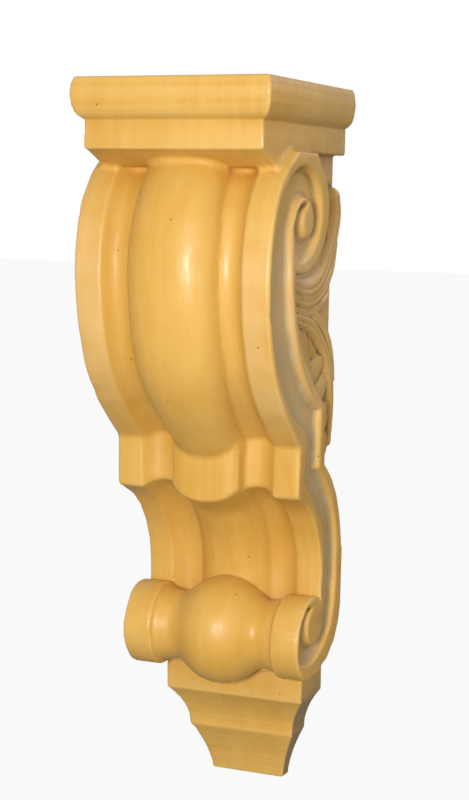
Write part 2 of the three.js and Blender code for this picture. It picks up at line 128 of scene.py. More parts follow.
SHARP = 0.7
SOFT = 1.2
CHANNEL_EDGE = 1.4
SPIRAL_CREST = 2.6
SPIRAL_CREST_FROM, SPIRAL_CREST_TO = 26.0, 18.0
FIELD_EDGE_ROUNDING = 2.2
FILLET = 1.2
CHANNEL_SCOOP = 2.6
CAP_FILLET = 4.0
CAP_FILLET_FROM, CAP_FILLET_TO = 58.0, 76.0
NECK_FILLET = 3.5

# Grid on which the form is worked out

VOXEL = 0.8
TRIANGLES = 190000

# Side-view curves: how far each point stands off the wall, and its height

VOLUTE_LINE = [
    (60, 143), (71, 136.8), (81, 131.8), (91, 124.8), (98.4, 116), (103, 106), (106.2, 92), (106.8, 78),
    (104.2, 60), (98, 42.5), (87.5, 27.5), (76, 16.5), (63.9, 6.4),
]
COVE_LINE = [(63.9, -16.4), (48.6, -23.4), (38.8, -33.2), (32.2, -44.3), (29.5, -55), (29.2, -66)]
LOWER_SCROLL_LINE = [(0, -77), (2.4, -85), (7.4, -92.4), (15.4, -98.6), (25, -102.9), (36, -104.6)]
LOWER_SCROLL_CORE = [(40, -85.3), (22, -78), (22, -44)]
UPPER_EYE = (62.0, 105.0)

# Where the outlines are closed, clear of the casting or behind the wall

BEHIND_WALL = -20.0
FOOT_RUN_OUT = 18.0
FOOT_BELOW = 14.0
COVE_RUN_OUT = 40.0
COVE_END = [(29.2, -100), (BEHIND_WALL, -100), (BEHIND_WALL, 15), (110, 15)]
FIELD_END = [(BEHIND_WALL, -48), (BEHIND_WALL, 142), (56, 142)]
BELOW_SCROLL_END = [(36, -130), (BEHIND_WALL, -130)]
LOWER_SCROLL_START = [(BEHIND_WALL, -44), (BEHIND_WALL, -77)]

# Side-view curves of the channel and of the field behind the scroll

CHANNEL_FRONT_UPPER = [
    (62, 112.6), (67.5, 112), (73, 108.6), (76, 103), (75.8, 97), (73.4, 92.4), (69.5, 89.4), (63, 89.6),
    (55, 92.4), (48.2, 97.3), (44.6, 104), (44.2, 111), (46.4, 118), (52, 124.2), (60, 127.8), (69, 128.4),
    (78.5, 125.8), (88, 119.6), (95.8, 110.6), (100.9, 99.5), (103.3, 87), (103.2, 74), (100.3, 60),
    (94.6, 47), (86.6, 34.8), (76.5, 24), (65, 17), (54, 12),
]
CHANNEL_FRONT_LOWER = [
    (56.4, -9.4), (45.5, -16.6), (36, -26), (29, -36), (25.8, -46), (26.2, -57), (27.4, -66), (25.4, -73),
    (25, -80), (27.8, -86), (34, -88.8), (41, -88), (45.8, -83.6), (46.4, -77.8), (44.4, -73), (40.6, -70.8),
]
CHANNEL_REAR_UPPER = [
    (62, 112.6), (66.3, 108.6), (67, 103.6), (63.4, 98.6), (57.6, 98), (53.2, 101.8), (52.6, 107.4),
    (55.8, 112.8), (61.5, 115.8), (68.5, 115.8), (75, 112.4), (79.2, 106), (80.6, 98), (80.2, 88),
    (79.2, 76), (76, 62.5), (70.2, 50), (61.5, 38), (50.5, 28), (37, 20.5),
]
CHANNEL_REAR_LOWER = [
    (37.2, -6.2), (28.5, -13), (19.8, -21.8), (13.2, -31.8), (9.4, -42.5), (8.4, -54), (8.8, -66.5),
    (10.6, -76), (14.5, -84), (21.5, -90.5), (31, -94.8), (41, -96.4), (49.5, -95),
]
RIM_ANGLES = (-24, 0, 24, 48, 70)
FIELD_EDGE_UPPER = [
    (52, 138), (45, 131.2), (38.2, 125.4), (34, 118), (32.5, 109.5), (34.2, 101.4), (39.4, 92.8),
    (47.4, 86), (57.5, 82.6), (66, 82.2), (73.6, 83.2),
]
FIELD_EDGE_LOWER = [
    (73.6, 83.2), (73.2, 71.5), (68.6, 59.4), (61.2, 48.6), (51.6, 38.6), (41, 30), (31, 23),
]
FIELD_EDGE_TAIL = [(31, -3), (21.5, -9.8), (13, -17.6), (6.6, -27), (2.4, -37.5), (0, -48)]

# Leaf: each leaflet has a spine, half its width, its height over the field, how many folds run along it
# and the share of its width that is left at its tip

LEAFLETS = [
    {"spine": [(52, 80.6), (40, 80.4), (30, 84.5), (22.5, 93), (18.5, 104), (18.6, 116), (23.5, 125.5)],
     "half": 6.4, "rise": 3.4, "folds": 2, "tip": 0.5},
    {"spine": [(58, 77.5), (42, 75), (28, 77.4), (16.5, 86), (7.6, 97), (3.4, 107), (5, 115.6)],
     "half": 6.2, "rise": 5.2, "folds": 1, "tip": 0.85},
    {"spine": [(56, 71.6), (42, 69.4), (28, 70.8), (15.6, 76.6), (6.6, 85), (2.6, 95)],
     "half": 5.0, "rise": 4.7, "folds": 1, "tip": 0.4},
    {"spine": [(54, 66.6), (42, 64.6), (30, 65), (19, 67.6), (10.5, 72.4)],
     "half": 4.2, "rise": 4.0, "folds": 1, "tip": 0.4},
    {"spine": [(57, 63), (50.5, 55), (42.5, 46.6), (33, 38)],
     "half": 9.8, "rise": 3.8, "folds": 3, "tip": 0.35},
    {"spine": [(40, 58.5), (31, 50), (23, 41.6)],
     "half": 6.8, "rise": 3.3, "folds": 2, "tip": 0.35},
    {"spine": [(13, 46), (23, 38.4), (37, 32)],
     "half": 6.6, "rise": 4.1, "folds": 2, "tip": 0.35},
    {"spine": [(9, 33), (16, 26.6), (28, 22.4)],
     "half": 5.8, "rise": 3.9, "folds": 2, "tip": 0.3},
    {"spine": [(6.4, 20), (9.6, 12), (15.5, 3.6)],
     "half": 4.8, "rise": 3.3, "folds": 1, "tip": 0.3},
    {"spine": [(5.4, 8), (7, 0), (11, -7)],
     "half": 3.6, "rise": 2.7, "folds": 0, "tip": 0.3},
    {"spine": [(34, 63.5), (20, 57.4), (10, 48), (4.4, 39), (2, 30.5)],
     "half": 4.6, "rise": 4.7, "folds": 1, "tip": 0.4},
    {"spine": [(54, 62), (38, 58.6), (24, 51.5), (12.6, 41.5), (6.4, 28.5), (4.4, 14.5), (5.4, 0.5)],
     "half": 5.6, "rise": 5.0, "folds": 1, "tip": 0.3},
]

# Places along a spine run from 0 to 1, and the root's width and rise are shares of the leaflet's own

FOLD_DEPTH = 0.8
GROOVE_WIDTH = 0.9
GROOVE_ON_HALF_WIDTHS = (3.5, 5)
ROOT_FROM, ROOT_TO = -0.2, 0.3
ROOT_WIDTH, ROOT_RISE = 0.55, 0.75
TIP_FROM = 0.55
CROWN_FULLNESS, CROWN_STEEPNESS = 3.2, 0.55
UNDERCUT = 0.9

# Surface: how far it is looked round for hollows and creases, and how it wanders and wears

HOLLOW_REACH = 3.2
CREASE_REACH = 1.6
CREASE_LIMIT = 2.4
HOLLOW_GAIN, CREASE_GAIN = 4, 2
BROAD_WANDER = {"size": 0.16, "cell": 23, "seed": 3}
FINE_WANDER = {"size": 0.07, "cell": 9, "seed": 4}
WEAR = {"size": 1, "cell": 6, "seed": 5}
EDGE_WEAR = 0.45
WORN_FROM, WORN_TO = 0.12, 0.4
OFF_WALL_FROM, OFF_WALL_TO = 0.5, 6
CHANNEL_FROM, CHANNEL_TO = -0.6, 0.9
SIDE_FROM, SIDE_TO = 36, 39
FACING_FROM, FACING_TO = 0.6, 0.95


# Curves and rounded joins

def smooth_line(points, steps):
    """A smooth curve through the points, cut into steps."""
    knots = np.array(points, float)
    last = len(knots) - 1
    place = np.linspace(0, last, steps + 1)
    i = np.minimum(place.astype(int), last - 1)
    t = (place - i)[:, None]
    before, after = knots[np.maximum(i - 1, 0)], knots[np.minimum(i + 2, last)]
    start, end = knots[i], knots[i + 1]
    leave, arrive = (end - before) / 2, (after - start) / 2
    cubic = (2 * start - 2 * end + leave + arrive) * t ** 3
    square = (-3 * start + 3 * end - 2 * leave - arrive) * t ** 2
    return cubic + square + leave * t + start


def round_max(a, b, radius):
    """Intersection of two distance fields, its edge rounded to the radius."""
    corner = np.hypot(np.maximum(a + radius, 0), np.maximum(b + radius, 0))
    return np.minimum(np.maximum(a, b), -radius) + corner


def round_min(a, b, radius):
    """Union of two distance fields, its inner corner filled to the radius."""
    return -round_max(-a, -b, radius)


def smoothstep(value, start, end):
    """Eases from 0 at the start to 1 at the end."""
    t = np.clip((value - start) / (end - start), 0, 1)
    return t * t * (3 - 2 * t)


# Distances in the side view

def line_distance(points, reach, height):
    """Distance to a line of points, and how far along it the nearest point is, from 0 to 1."""
    points = np.asarray(points, np.float32)
    nearest = np.full(np.broadcast(reach, height).shape, 1e6, np.float32)
    along = np.zeros_like(nearest)
    lengths = np.hypot(*(points[1:] - points[:-1]).T)
    travelled = np.concatenate([[0], np.cumsum(lengths)])
    for i, (start, end) in enumerate(zip(points, points[1:])):
        run = end - start
        t = ((reach - start[0]) * run[0] + (height - start[1]) * run[1]) / max(run @ run, 1e-9)
        t = np.clip(t, 0, 1)
        gap = np.hypot(reach - start[0] - t * run[0], height - start[1] - t * run[1])
        closer = gap < nearest
        nearest[closer] = gap[closer]
        along[closer] = ((travelled[i] + t * lengths[i]) / travelled[-1])[closer]
    return nearest, along


def area_distance(points, reach, height):
    """Signed distance to a closed outline, negative inside it."""
    closed = np.vstack([points, points[:1]]).astype(np.float32)
    nearest, _ = line_distance(closed, reach, height)
    inside = np.zeros(nearest.shape, bool)
    for (r0, z0), (r1, z1) in zip(closed, closed[1:]):
        if z0 == z1:
            continue
        crosses = (z0 > height) != (z1 > height)
        where = r0 + (height - z0) * (r1 - r0) / (z1 - z0)
        inside ^= crosses & (reach < where)
    return np.where(inside, -nearest, nearest)


# Front of the scroll

def front_section(across, valley, rise, shape):
    """How far the front stands out of the bands: a lobe, a hollow flute beside it, then the level band."""
    fullness, lean, deepest, crease = shape
    share = np.clip(across / valley, 0, 1)
    edge = (1 - lean ** fullness) ** (1 / fullness)
    swell = ((1 - (lean * share) ** fullness) ** (1 / fullness) - edge) / (1 - edge)
    lobe = -VALLEY_DEPTH + (rise + VALLEY_DEPTH) * swell - RUN_OUT_SLOPE * np.maximum(across - valley, 0)
    outward = (across - valley) / (BAND_INNER_HALF_WIDTH - valley)
    falling = np.clip(outward / deepest, -1, 1)
    rising = np.clip((outward - deepest) / (1 - deepest), 0, 1)
    depth = VALLEY_DEPTH + (FLUTE_DEPTH - VALLEY_DEPTH) * np.sin(falling * pi / 2)
    flute = -depth * (1 - rising ** 2) + np.maximum(across - BAND_INNER_HALF_WIDTH, 0) * RUN_OUT_SLOPE
    band = np.zeros_like(flute)
    return round_max(lobe, round_min(flute, band, SHARP), crease)


def front_field(across, reach, height):
    volute = smooth_line(VOLUTE_LINE, 60)
    foot = volute[-1]
    foot_run = (foot - volute[-2]) / np.hypot(*(foot - volute[-2]))
    behind_foot = (BEHIND_WALL, foot[1] - FOOT_BELOW)
    behind_top = (BEHIND_WALL, volute[0][1])
    upper_outline = np.vstack([volute, foot + FOOT_RUN_OUT * foot_run, behind_foot, behind_top])
    upper = area_distance(upper_outline, reach[0], height[0])[None]
    opening = smoothstep(height, LOBE_OPENS_FROM, LOBE_OPENS_TO)
    closing = smoothstep(height, LOBE_CLOSES_FROM, LOBE_CLOSES_TO)
    valley = UPPER_LOBE_TOP_HALF_WIDTH + (UPPER_LOBE_HALF_WIDTH - UPPER_LOBE_TOP_HALF_WIDTH) * opening
    valley = valley + (STEP_PANEL_HALF_WIDTH - valley) * closing
    upper = upper - front_section(across, valley, UPPER_LOBE_RISE, UPPER_SHAPE)

    cove = smooth_line(COVE_LINE, 30)
    outward = (cove[0] - cove[1]) / np.hypot(*(cove[0] - cove[1]))
    cove_outline = np.vstack([cove[0] + COVE_RUN_OUT * outward, cove, COVE_END])
    cove_side = area_distance(cove_outline, reach[0], height[0])[None]
    cove_side = cove_side - front_section(across, STEP_PANEL_HALF_WIDTH, COVE_LOBE_RISE, COVE_SHAPE)
    step_section = front_section(across, STEP_PANEL_HALF_WIDTH, STEP_PANEL_RISE, STEP_SHAPE)
    lower = round_max(reach - STEP_REACH - step_section, cove_side, SOFT)
    return round_min(upper, lower, FILLET)


# Side carving

def channel_outline():
    inside_rim = ROLL_RADIUS - ROLL_RIM_WIDTH
    rim = [
        (ROLL_REACH + inside_rim * cos(angle), ROLL_Z + inside_rim * sin(angle))
        for angle in map(radians, RIM_ANGLES)
    ]
    rim_turn = CHANNEL_REAR_LOWER + rim + CHANNEL_FRONT_LOWER[-1:]
    front = np.vstack([smooth_line(CHANNEL_FRONT_UPPER, 110), smooth_line(CHANNEL_FRONT_LOWER, 70)])
    rear = np.vstack([smooth_line(CHANNEL_REAR_UPPER, 90), smooth_line(rim_turn, 90)])
    return np.vstack([front, rear[1:-1][::-1]])


def field_outline():
    return np.vstack([
        smooth_line(FIELD_EDGE_UPPER, 44),
        smooth_line(FIELD_EDGE_LOWER, 28)[1:],
        smooth_line(FIELD_EDGE_TAIL, 20),
        FIELD_END,
    ])


def leaflet_height(leaflet, reach, height):
    """Height of one leaflet over the field: a full crown, thinner at its root, with folds along it."""
    line = smooth_line(leaflet["spine"], 24)
    gap, along = line_distance(line, reach, height)
    root = smoothstep(along, ROOT_FROM, ROOT_TO)
    end = 1 - (1 - leaflet["tip"]) * smoothstep(along, TIP_FROM, 1.0)
    half = leaflet["half"] * (ROOT_WIDTH + (1 - ROOT_WIDTH) * root) * end
    share = np.clip(gap / half, 0, 1)
    crown = (1 - share ** CROWN_FULLNESS) ** CROWN_STEEPNESS
    folds = leaflet["folds"]
    fold = FOLD_DEPTH * (0.5 - 0.5 * np.cos(pi * folds * share)) * (share < 1) if folds else 0
    groove = FOLD_DEPTH * np.exp(-(gap / GROOVE_WIDTH) ** 2)
    groove = groove * smoothstep(leaflet["half"], *GROOVE_ON_HALF_WIDTHS)
    body = leaflet["rise"] * crown * (ROOT_RISE + (1 - ROOT_RISE) * root)
    return np.where(share < 1, body - fold - groove, 0)


def leaf_height(reach, height, field_distance):
    """The leaflets laid over each other, with a thin gap left along the edge of the field."""
    total = np.zeros(field_distance.shape, np.float32)
    for leaflet in LEAFLETS:
        total = np.maximum(total, leaflet_height(leaflet, reach, height))
    clear_of_edge = smoothstep(-field_distance, UNDERCUT, 3 * UNDERCUT)
    return total * clear_of_edge


def carve_sides(body, across, reach, height):
    """The body with its side channel and leafy field cut in, and the channel's own distance."""
    channel = area_distance(channel_outline(), reach[0], height[0])
    field = area_distance(field_outline(), reach[0], height[0])
    floor = (SCROLL_HALF_WIDTH - CHANNEL_DEPTH) - across
    channel_void = round_max(channel[None], floor, CHANNEL_SCOOP)
    leaf = leaf_height(reach[0], height[0], field)
    field_void = np.maximum(field[None], (SCROLL_HALF_WIDTH - FIELD_DEPTH + leaf)[None] - across)
    from_eye = np.hypot(reach - UPPER_EYE[0], height - UPPER_EYE[1])
    in_spiral = smoothstep(from_eye, SPIRAL_CREST_FROM, SPIRAL_CREST_TO)
    edge = CHANNEL_EDGE + (SPIRAL_CREST - CHANNEL_EDGE) * in_spiral
    body = round_max(body, -channel_void, edge)
    return round_max(body, -field_void, FIELD_EDGE_ROUNDING), channel


# Roll, neck and ball

def roll_field(across, reach, height):
    from_axis = np.hypot(reach - ROLL_REACH, height - ROLL_Z)
    neck_end = BALL_HALF_WIDTH * sqrt(1 - (NECK_RADIUS / BALL_RADIUS) ** 2)
    neck_length = ROLL_BAND_INNER_HALF_WIDTH - neck_end
    inward = np.clip((ROLL_BAND_INNER_HALF_WIDTH - across) / neck_length, 0, 1)
    neck = from_axis - NECK_END_RADIUS - (NECK_RADIUS - NECK_END_RADIUS) * np.sin(inward * pi / 2)
    drum = round_max(from_axis - ROLL_RADIUS, ROLL_BAND_INNER_HALF_WIDTH - across, SOFT)
    ball = (np.hypot(across / BALL_HALF_WIDTH, from_axis / BALL_RADIUS) - 1) * BALL_HALF_WIDTH
    return round_min(round_min(drum, neck, SHARP), ball, NECK_FILLET)


def scroll_field(across, reach, height):
    front = front_field(across, reach, height)
    underside = smooth_line(LOWER_SCROLL_LINE, 16)
    below_outline = np.vstack([LOWER_SCROLL_START[-1:], underside, BELOW_SCROLL_END])
    below = area_distance(below_outline, reach[0], height[0])[None]
    front = round_max(front, -below, SOFT)
    behind_outline = np.vstack([LOWER_SCROLL_START, underside, LOWER_SCROLL_CORE])
    behind_roll = area_distance(behind_outline, reach[0], height[0])[None]
    lower = round_min(behind_roll, roll_field(across, reach, height), ROLL_JOIN)
    body = round_min(front, lower, FILLET)
    body = round_max(body, across - SCROLL_HALF_WIDTH, SOFT)
    return carve_sides(body, across, reach, height)


# Cap

CAP_PROFILE = [(0, 147.1), (0.5, 147.3), (2.9, 149.4), (4.1, 152.6), (4.8, 157.6), (4.4, 161.6), (3.5, 165)]
CAP_PROFILE_OUT = 4.8


def cap_field(width, reach, height):
    profile = smooth_line(CAP_PROFILE, 60)
    out = np.interp(height, profile[:, 1], profile[:, 0]) * (CAP_OVERHANG / CAP_PROFILE_OUT)
    sides = round_max(width - FASCIA_HALF_WIDTH - out, reach - FASCIA_REACH - out, SHARP)
    ends = np.maximum(height - TOP, CAP_UNDERSIDE - height)
    return round_max(sides, ends, SHARP)


def soffit_field(width, reach, height):
    slope = np.hypot(SOFFIT_RUN, SOFFIT_DROP)
    along_reach = (reach - FASCIA_REACH) * SOFFIT_DROP
    face = (along_reach - (height - CAP_UNDERSIDE) * SOFFIT_RUN) / slope
    wedge = round_max(face, width - FASCIA_HALF_WIDTH, SHARP)
    ends = np.maximum(height - CAP_UNDERSIDE - LET_INTO_CAP, CAP_UNDERSIDE - SOFFIT_DROP - height)
    limits = np.maximum(ends, SOFFIT_BACK - reach)
    return np.maximum(np.maximum(wedge, limits), reach - FASCIA_REACH)


# Pendant

def pendant_field(width, reach, height):
    upper = np.clip((PENDANT_BAND_BOTTOM - height) / (PENDANT_BAND_BOTTOM - WAIST_Z), 0, 1)
    lower = np.clip((WAIST_Z - height) / (WAIST_Z - BOTTOM), 0, 1)
    upper_inset = 1 - (1 - upper) ** UPPER_COVE_POWER
    lower_inset = 1 - (1 - lower) ** LOWER_COVE_POWER
    half = PENDANT_HALF_WIDTH - UPPER_COVE_INSET[0] * upper_inset - LOWER_COVE_INSET[0] * lower_inset
    depth = PENDANT_REACH - UPPER_COVE_INSET[1] * upper_inset - LOWER_COVE_INSET[1] * lower_inset
    sides = round_max(width - half, reach - depth, SHARP)
    return round_max(sides, np.maximum(BOTTOM - height, height - ROLL_Z), SHARP)


# The whole casting

def casting_field():
    """Distance field of the right half, its three axes and the side channel's own distance."""
    margin = 4 * VOXEL
    width = np.arange(0, CAP_HALF_WIDTH + margin, VOXEL, np.float32)[:, None, None]
    reach = np.arange(-margin, FRONT + margin, VOXEL, np.float32)[None, :, None]
    height = np.arange(BOTTOM - margin, TOP + margin, VOXEL, np.float32)[None, None, :]
    across = width / (1 + SIDE_TAPER * height / TOP)
    scroll, channel = scroll_field(across, reach, height)
    beside_cap = np.maximum(CAP_UNDERSIDE - height, (FASCIA_HALF_WIDTH - LET_INTO_CAP) - width)
    scroll = np.maximum(scroll, -beside_cap)
    cap = round_min(cap_field(width, reach, height), soffit_field(width, reach, height), SOFFIT_JOIN)
    in_front = smoothstep(reach, CAP_FILLET_FROM, CAP_FILLET_TO)
    body = round_min(scroll, cap, SHARP + (CAP_FILLET - SHARP) * in_front)
    body = round_min(body, pendant_field(width, reach, height), SHARP)
    body = np.maximum(body, -reach)
    return body.astype(np.float32), width.ravel(), reach.ravel(), height.ravel(), channel


def between_nodes(table, cell, t):
    """Value of a table at places t within its cells, from each cell's eight corners."""
    value = 0
    for corner in range(8):
        step = np.array([corner & 1, corner >> 1 & 1, corner >> 2 & 1])
        weight = np.prod(np.where(step, t, 1 - t), axis=1)
        i, j, k = (cell + step).T
        value = value + weight * table[i, j, k]
    return value


def sample(volume, origin, points):
    """Value of a volume at points, between its grid's nodes."""
    place = (points - origin) / VOXEL
    cell = np.clip(np.floor(place).astype(int), 0, np.array(volume.shape) - 2)
    return between_nodes(volume, cell, place - cell)


def box_blur(volume, cells):
    """Mean over a cube of cells round each node."""
    for axis in range(3):
        padded = np.concatenate([np.repeat(np.take(volume, [0], axis), cells + 1, axis), volume,
                                 np.repeat(np.take(volume, [-1], axis), cells, axis)], axis)
        total = np.cumsum(padded, axis, dtype=np.float32)
        count = volume.shape[axis]
        ahead = np.take(total, range(2 * cells + 1, 2 * cells + 1 + count), axis)
        behind = np.take(total, range(count), axis)
        volume = (ahead - behind) / (2 * cells + 1)
    return volume


def value_noise(points, size, cell, seed):
    """Smooth noise of the given size either way and cell width, the same on each run."""
    place = points / cell
    base = np.floor(place).astype(int)
    t = place - base
    t = t * t * (3 - 2 * t)
    base -= base.min(0)
    table = np.random.default_rng(seed).uniform(-1, 1, base.max(0) + 2)
    return size * between_nodes(table, base, t)


def surface_of(volume, origin):
    """Points, triangles and quads of the volume's zero surface."""
    limit = 3 * VOXEL
    grid = openvdb.FloatGrid(limit)
    grid.copyFromArray(np.clip(volume, -limit, limit).astype(np.float32))
    grid.transform = openvdb.createLinearTransform(voxelSize=VOXEL)
    points, triangles, quads = grid.convertToPolygons(isovalue=0.0, adaptivity=0.0)
    return points + origin, triangles, quads


def project(volume, origin, points):
    """Moves points onto the zero surface along the field's gradient, in two steps."""
    least_slope = 0.25
    for _ in range(2):
        value = sample(volume, origin, points)
        slope = np.stack([
            sample(volume, origin, points + step) - sample(volume, origin, points - step)
            for step in np.eye(3) * VOXEL * 0.5
        ], axis=1) / VOXEL
        size = np.maximum((slope ** 2).sum(1), least_slope)
        move = np.clip(value / size, -VOXEL, VOXEL)[:, None] * slope
        points = points - move
    return points


def new_mesh(name, points, faces):
    mesh = bpy.data.meshes.new(name)
    mesh.from_pydata(points, [], faces)
    mesh.validate()
    mesh.update()
    return mesh


def thinned(points, triangles, quads):
    """A mesh of the surface, thinned to the wanted number of triangles."""
    faces = [tuple(face) for face in quads.tolist()] + [tuple(face) for face in triangles.tolist()]
    rough = bpy.data.objects.new("rough casting", new_mesh("rough casting", points, faces))
    bpy.context.collection.objects.link(rough)
    thin = rough.modifiers.new("thin", "DECIMATE")
    thin.ratio = min(1.0, TRIANGLES / (2 * len(quads) + len(triangles)))
    evaluated = rough.evaluated_get(bpy.context.evaluated_depsgraph_get())
    mesh = bpy.data.meshes.new_from_object(evaluated)
    bpy.data.objects.remove(rough)
    return mesh


def vertex_values(mesh, name):
    values = np.zeros(len(mesh.vertices) * 3, np.float32)
    mesh.vertices.foreach_get(name, values)
    return values.reshape(-1, 3)


def roughened(points, normals, crease):
    """The points moved a little along their normals: a slow wander, and edges worn back in patches."""
    wander = value_noise(points, **BROAD_WANDER) + value_noise(points, **FINE_WANDER)
    worn_edge = smoothstep(-crease, WORN_FROM, WORN_TO) * np.maximum(value_noise(points, **WEAR), 0)
    wander = wander - EDGE_WEAR * worn_edge
    off_wall = smoothstep(-points[:, 1], OFF_WALL_FROM, OFF_WALL_TO)
    return points + normals * (wander * off_wall)[:, None]


def casting():
    half, width, reach, height, channel = casting_field()
    volume = np.concatenate([half[:0:-1], half])
    volume = volume[:, ::-1]
    origin = np.array([-width[-1], -reach[-1], height[0]])
    points, triangles, quads = surface_of(volume, origin)
    mesh = thinned(project(volume, origin, points), triangles, quads)
    points = vertex_values(mesh, "co").astype(float)
    normals = vertex_values(mesh, "normal")

    filled = box_blur((volume < 0).astype(np.float32), max(1, round(HOLLOW_REACH / VOXEL)))
    hollow = sample(filled, origin, points)
    near_surface = np.clip(volume, -CREASE_LIMIT, CREASE_LIMIT)
    near = box_blur(near_surface, max(1, round(CREASE_REACH / VOXEL)))
    crease = -sample(near, origin, points)
    channel_gap = channel[None].repeat(2, 0)[:, ::-1]
    side_origin = np.array([-VOXEL / 2, -reach[-1], height[0]])
    flat = points * [0, 1, 1]
    in_channel = smoothstep(-sample(channel_gap, side_origin, flat), CHANNEL_FROM, CHANNEL_TO)
    on_side = smoothstep(np.abs(points[:, 0]), SIDE_FROM, SIDE_TO) * (points[:, 2] < CAP_UNDERSIDE)
    facing_side = smoothstep(np.abs(normals[:, 0]), FACING_FROM, FACING_TO)

    points = roughened(points, normals, crease)
    points = np.clip(points * MM, np.array(low_corner), np.array(high_corner))
    mesh.vertices.foreach_set("co", points.astype(np.float32).ravel())
    for name, values in {
        "hollow": np.clip((hollow - 0.5) * HOLLOW_GAIN, -1, 1),
        "crease": np.clip(crease * CREASE_GAIN, -1, 1),
        "channel": in_channel * on_side,
        "side": facing_side,
    }.items():
        mesh.attributes.new(name, "FLOAT", "POINT").data.foreach_set("value", values.astype(np.float32))
    mesh.polygons.foreach_set("use_smooth", [True] * len(mesh.polygons))
    mesh.update()
    piece = bpy.data.objects.new("corbel_casting", mesh)
    bpy.context.collection.objects.link(piece)
    return piece


# Resin

RESIN_DEPTH = 0.76
PINHOLE_CELLS = 71.0


def linear(value):
    """One channel of a colour, given in the usual 0 to 255 steps, as the shader takes it."""
    share = value / 255
    return share / 12.92 if share <= 0.04045 else ((share + 0.055) / 1.055) ** 2.4


def toned(*colour):
    """A colour as photographed, taken down to the share of light that the resin itself sends back."""
    return tuple(linear(value) * RESIN_DEPTH for value in colour) + (1.0,)


DEEP_YELLOW = toned(228, 172, 72)
LIGHT_YELLOW = toned(239, 188, 92)
MOTTLED_YELLOW = toned(232, 174, 76)
STREAK_YELLOW = toned(244, 200, 116)
# painted shade: the brown that darkens the hollows
HOLLOW_PAINTED_SHADE = toned(196, 140, 58)
# dirt and painted shade: the dark brown that darkens the creases
CREASE_DIRT_AND_SHADE = toned(128, 94, 46)
# rubbed wear and painted highlight: the pale yellow on convex edges
RUBBED_EDGE_AND_SHEEN = toned(246, 206, 128)
# a darker, browner tone low on the sides
LOW_SIDE_BROWN = toned(146, 122, 84)
CHANNEL_DUST = toned(212, 188, 142)
# painted highlight: the pale sheen on the front bands
BAND_PAINTED_SHEEN = toned(250, 212, 158)
SCUFF_CREAM = toned(250, 232, 190)
PINHOLE_BROWN = toned(120, 84, 34)

# How strongly each layer of the finish, painted shade and painted highlight shows

MOTTLING_SHARE = 0.35
STREAK_SHARE = 0.3
HOLLOW_SHADE_SHARE = 0.12
RUBBED_EDGE_AND_SHEEN_SHARE = 0.3
LOW_SIDE_BROWN_SHARE = 0.75
DUST_SHARE = 0.85
PAINTED_SHEEN_SHARE = 0.4
PINHOLE_SHARE = 0.8
DULLNESS = 0.3
SPECULAR_LEVEL = 0.4
FINE_RELIEF = 0.25
BUMP_STRENGTH = 0.25
BUMP_DISTANCE = 0.0006


